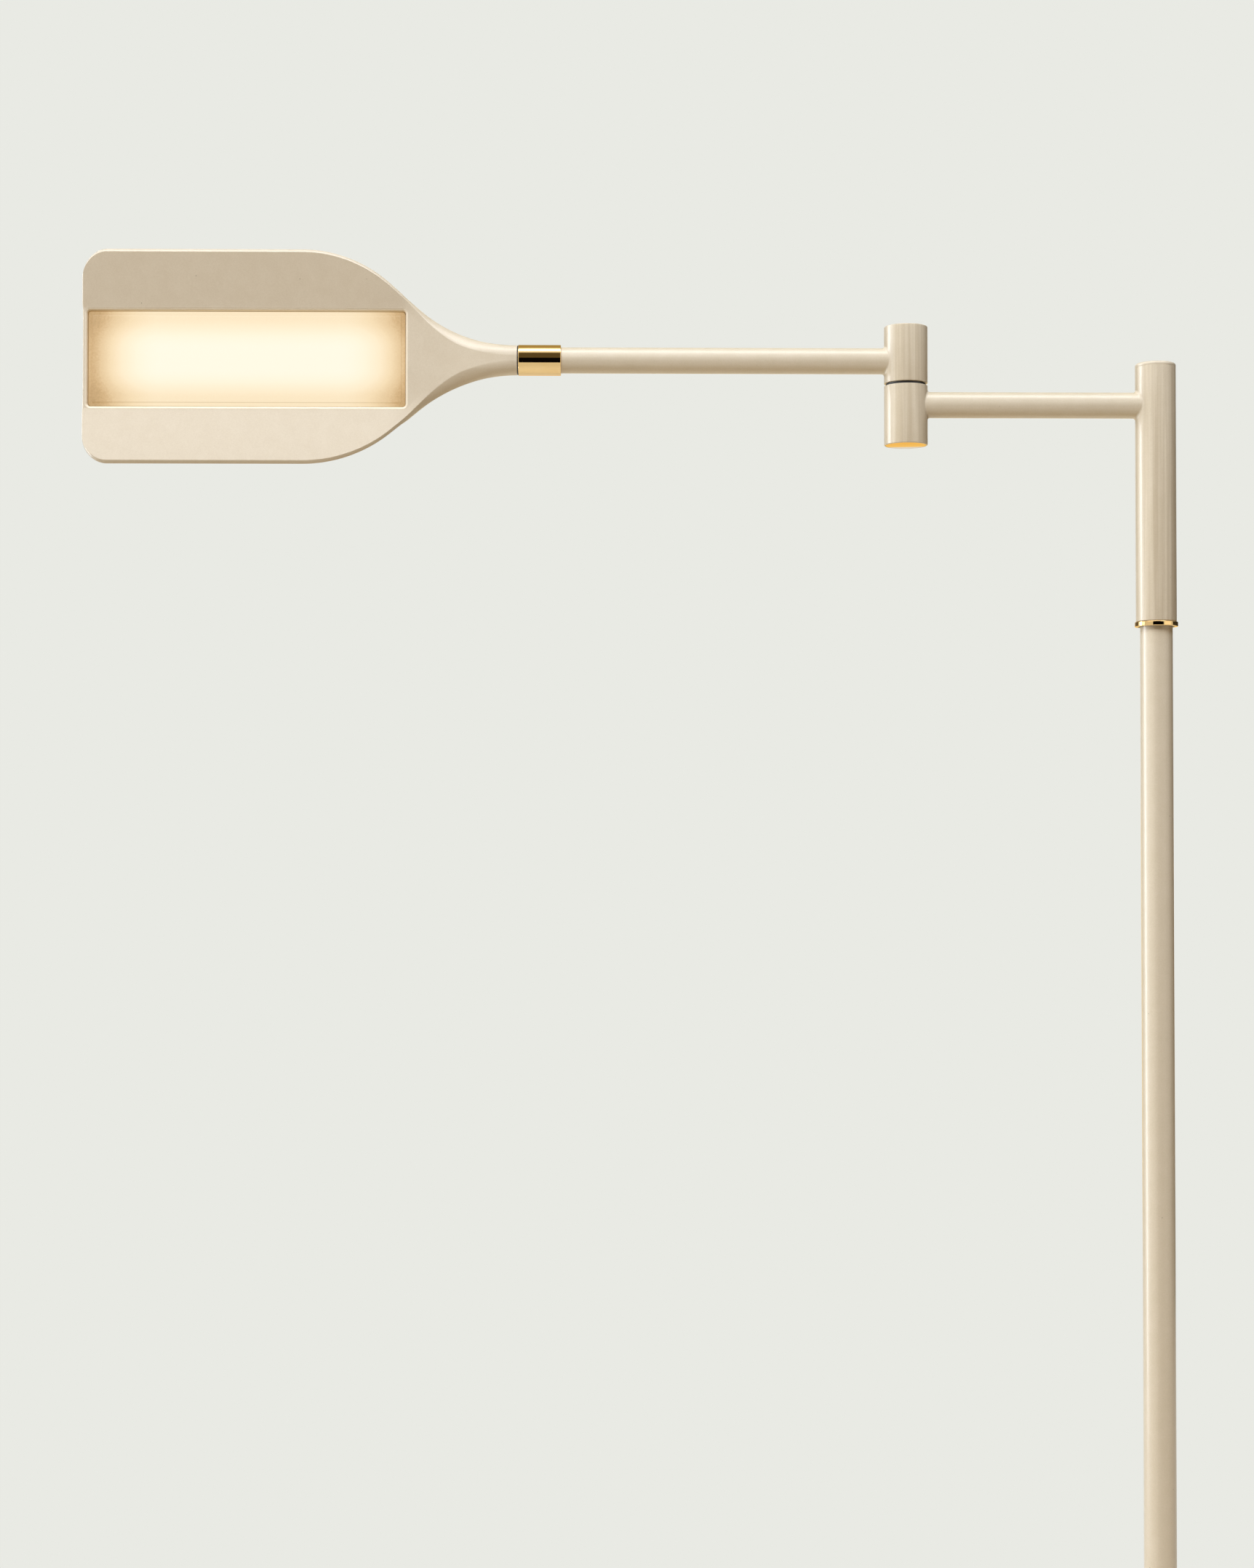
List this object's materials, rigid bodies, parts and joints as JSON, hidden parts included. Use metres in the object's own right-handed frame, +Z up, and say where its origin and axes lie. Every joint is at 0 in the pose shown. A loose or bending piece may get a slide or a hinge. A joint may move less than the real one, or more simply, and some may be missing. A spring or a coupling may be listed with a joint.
{
  "type": "adjustable arm floor lamp",
  "caption": "Free-standing reading lamp with a weighted round base, a sliding and turning sleeve on its post, two level arms with a stacked elbow, and a turning trough-shaped light head.",
  "frame": {"origin": "under the middle of the base pad, on the post's axis", "axes": "+Z up along the post; the arms and the head reach along -X; the light faces -Y"},
  "size_m": [0.797, 0.2625, 1.3637],
  "materials": {
    "cast_iron": "as cast, blacked",
    "cream_paint": "satin powder coat on steel",
    "cream_casting": "satin powder coat on cast aluminium",
    "felt": "pressed felt",
    "black_nylon": "moulded nylon",
    "plated_steel": "zinc plated",
    "polished_brass": "polished and lacquered",
    "wire_jacket": "flexible jacket",
    "aluminium": "rolled sheet",
    "white_laminate": "white solder mask",
    "white_plastic": "moulded",
    "phosphor": "silicone over phosphor",
    "opal_diffuser": "opal acrylic, satin front"
  },
  "bodies": {
    "base": {"base_weight": "cast_iron", "base_cover": "cream_paint", "base_pad": "felt", "cord_gland": "black_nylon", "gland_nut": "black_nylon", "post_flange": "cream_paint", "post_washer": "plated_steel", "post_nut": "plated_steel", "post": "cream_paint", "post_plug": "black_nylon", "post_wire": "wire_jacket"},
    "height_ring": {"sleeve_ring": "polished_brass", "ring_collet": "black_nylon"},
    "lower_arm": {"sleeve": "cream_paint", "sleeve_cap": "cream_paint", "lower_arm": "cream_paint", "lower_knuckle": "cream_paint", "elbow_bush": "black_nylon", "elbow_stop": "plated_steel", "elbow_disc": "polished_brass", "lower_wire": "wire_jacket"},
    "upper_arm": {"upper_knuckle": "cream_paint", "knuckle_cap": "cream_paint", "elbow_pin": "plated_steel", "elbow_washer": "plated_steel", "elbow_spring": "plated_steel", "elbow_nut": "plated_steel", "upper_arm": "cream_paint", "head_collar": "polished_brass", "swivel_bush": "black_nylon", "stop_screw": "plated_steel", "upper_wire": "wire_jacket"},
    "head": {"head_spigot": "plated_steel", "head_shell": "cream_casting", "heat_spreader": "aluminium", "led_board": "white_laminate", "led_chips": "phosphor", "board_screws": "plated_steel", "terminal_block": "white_plastic", "reflector_frame": "white_plastic", "diffuser": "opal_diffuser", "head_wire": "wire_jacket"}
  },
  "joints": [
    {"name": "height_slide", "type": "slide", "parent": "base", "child": "height_ring", "axis": [0, 0, 1], "range_m": [-0.07, 0]},
    {"name": "sleeve_swivel", "type": "hinge", "parent": "height_ring", "child": "lower_arm", "pos_m": [0, 0, 1.27], "axis": [0, 0, 1], "range_deg": [-170, 170]},
    {"name": "elbow_swivel", "type": "hinge", "parent": "lower_arm", "child": "upper_arm", "pos_m": [-0.156, 0, 1.2825], "axis": [0, 0, 1], "range_deg": [-150, 150]},
    {"name": "head_turn", "type": "hinge", "parent": "upper_arm", "child": "head", "pos_m": [-0.3974, 0, 1.2973], "axis": [1, 0, 0], "range_deg": [-135, 135]}
  ]
}
